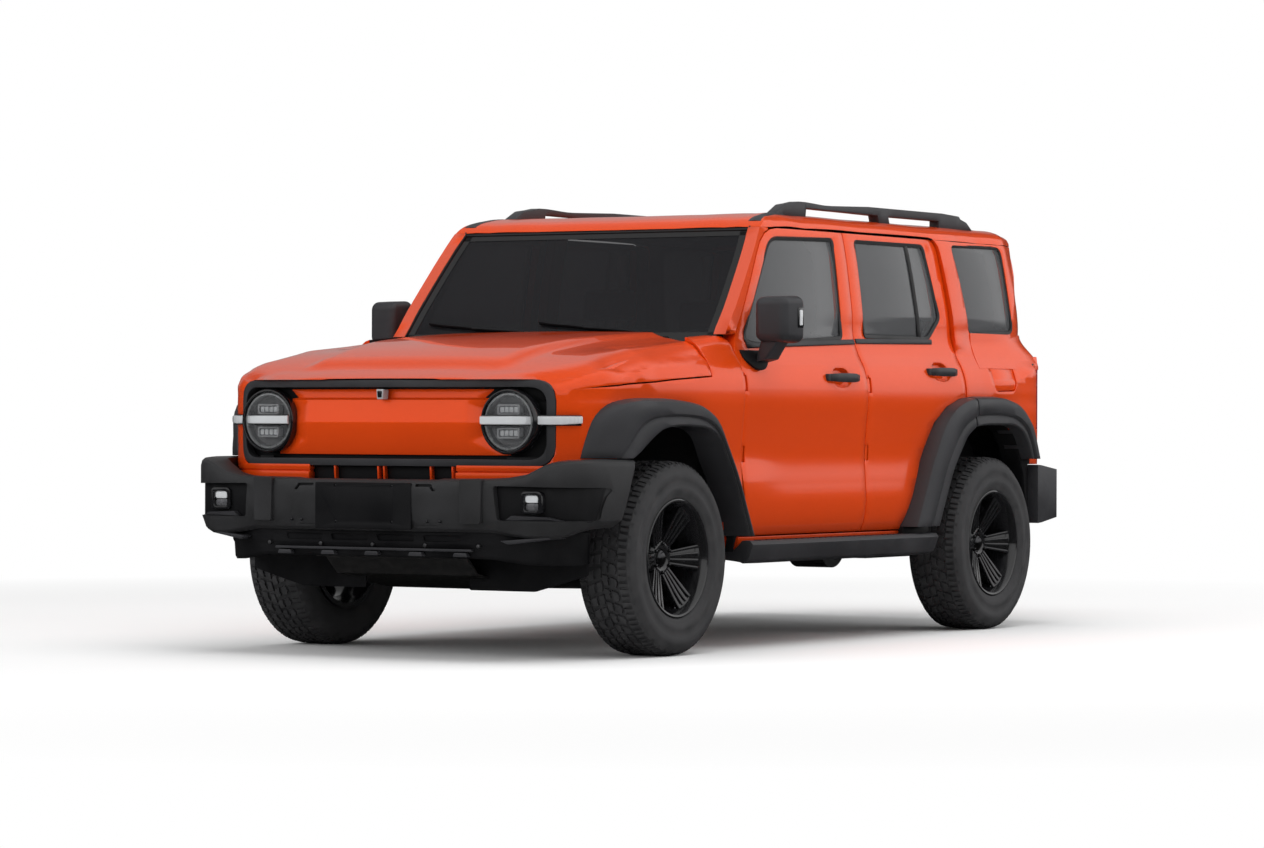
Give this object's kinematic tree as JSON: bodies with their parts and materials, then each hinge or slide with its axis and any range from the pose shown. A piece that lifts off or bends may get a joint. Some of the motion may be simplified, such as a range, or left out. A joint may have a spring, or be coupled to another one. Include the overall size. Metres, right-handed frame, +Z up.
{
  "type": "off-road vehicle",
  "caption": "Boxy lifted off-road 4x4 with round headlamps, black flares, side steps, roof rails, opening doors and hood, and a spare wheel on its side-hinged tailgate.",
  "frame": {"origin": "on the ground, at the middle of the car's length and width", "axes": "+Z up, +Y towards the rear of the car, +X towards the car's left side"},
  "size_m": [2.104, 4.76, 1.903],
  "materials": {
    "paint": "gloss",
    "trim": "matte",
    "chassis": "satin",
    "tank": "matte",
    "underbody": "matte",
    "glass": "gloss",
    "lens": "gloss",
    "red_lens": "gloss",
    "interior": "matte",
    "cloth": "matte",
    "rim": "gloss",
    "tyre": "matte"
  },
  "bodies": {
    "body": {"ladder_frame": "chassis", "front_suspension": "chassis", "rear_axle": "chassis", "engine_block": "chassis", "exhaust": "chassis", "fuel_tank": "tank", "skid_plate": "chassis", "floor_tub": "underbody", "wheel_housings": "underbody", "sills": "paint", "door_pillars": "paint", "rear_quarters": "paint", "roof_panel": "paint", "front_fenders": "paint", "grille_panel": "paint", "cowl": "trim", "windscreen": "glass", "quarter_glass": "glass", "front_bumper": "trim", "rear_bumper": "trim", "front_flares": "trim", "rear_flares": "trim", "running_boards": "trim", "roof_rails": "trim", "headlamps": "lens", "tail_lamps": "red_lens", "dashboard": "interior", "front_seats": "cloth", "rear_seat": "cloth", "tailgate_hinges": "paint"},
    "hood": {"hood": "paint"},
    "front_door_left": {"front_door_left": "paint", "front_glass_left": "glass", "mirror_left": "trim"},
    "front_door_right": {"front_door_right": "paint", "front_glass_right": "glass", "mirror_right": "trim"},
    "rear_door_left": {"rear_door_left": "paint", "rear_glass_left": "glass"},
    "rear_door_right": {"rear_door_right": "paint", "rear_glass_right": "glass"},
    "tailgate": {"tailgate": "paint", "tailgate_glass": "glass", "spare_wheel": "trim"},
    "knuckle_left": {"knuckle_left": "chassis"},
    "knuckle_right": {"knuckle_right": "chassis"},
    "wheel_front_left": {"rim_front_left": "rim", "tyre_front_left": "tyre"},
    "wheel_front_right": {"rim_front_right": "rim", "tyre_front_right": "tyre"},
    "wheel_rear_left": {"rim_rear_left": "rim", "tyre_rear_left": "tyre"},
    "wheel_rear_right": {"rim_rear_right": "rim", "tyre_rear_right": "tyre"},
    "steering_wheel": {"steering_wheel": "interior"}
  },
  "joints": [
    {"name": "hood_hinge", "type": "hinge", "parent": "body", "child": "hood", "pos_m": [0, -1.058, 1.256], "axis": [-1, 0, 0], "range_deg": [0, 55]},
    {"name": "front_door_left_hinge", "type": "hinge", "parent": "body", "child": "front_door_left", "pos_m": [0.888, -0.952, 0.945], "axis": [0, 0, -1], "range_deg": [0, 65]},
    {"name": "rear_door_left_hinge", "type": "hinge", "parent": "body", "child": "rear_door_left", "pos_m": [0.888, 0.106, 0.945], "axis": [0, 0, -1], "range_deg": [0, 65]},
    {"name": "front_door_right_hinge", "type": "hinge", "parent": "body", "child": "front_door_right", "pos_m": [-0.888, -0.952, 0.945], "axis": [0, 0, 1], "range_deg": [0, 65]},
    {"name": "rear_door_right_hinge", "type": "hinge", "parent": "body", "child": "rear_door_right", "pos_m": [-0.888, 0.106, 0.945], "axis": [0, 0, 1], "range_deg": [0, 65]},
    {"name": "tailgate_hinge", "type": "hinge", "parent": "body", "child": "tailgate", "pos_m": [-0.812, 1.898, 0.99], "axis": [0, 0, 1], "range_deg": [0, 80]},
    {"name": "steer_left", "type": "hinge", "parent": "body", "child": "knuckle_left", "pos_m": [0.73, -1.52, 0.388], "axis": [0, 0, 1], "range_deg": [-35, 35]},
    {"name": "steer_right", "type": "hinge", "parent": "body", "child": "knuckle_right", "pos_m": [-0.73, -1.52, 0.388], "axis": [0, 0, 1], "range_deg": [-35, 35]},
    {"name": "steering_wheel_turn", "type": "hinge", "parent": "body", "child": "steering_wheel", "pos_m": [-0.37, -0.66, 1.065], "axis": [0, 0.9135, 0.4067], "range_deg": [-525, 525]},
    {"name": "wheel_front_left_spin", "type": "hinge", "parent": "knuckle_left", "child": "wheel_front_left", "pos_m": [0.804, -1.52, 0.388], "axis": [1, 0, 0], "continuous": true},
    {"name": "wheel_front_right_spin", "type": "hinge", "parent": "knuckle_right", "child": "wheel_front_right", "pos_m": [-0.804, -1.52, 0.388], "axis": [1, 0, 0], "continuous": true},
    {"name": "wheel_rear_left_spin", "type": "hinge", "parent": "body", "child": "wheel_rear_left", "pos_m": [0.804, 1.23, 0.388], "axis": [1, 0, 0], "continuous": true},
    {"name": "wheel_rear_right_spin", "type": "hinge", "parent": "body", "child": "wheel_rear_right", "pos_m": [-0.804, 1.23, 0.388], "axis": [1, 0, 0], "continuous": true}
  ],
  "couplings": [
    {"joint": "steer_right", "follows": "steer_left", "ratio": 1},
    {"joint": "steering_wheel_turn", "follows": "steer_left", "ratio": 15}
  ]
}
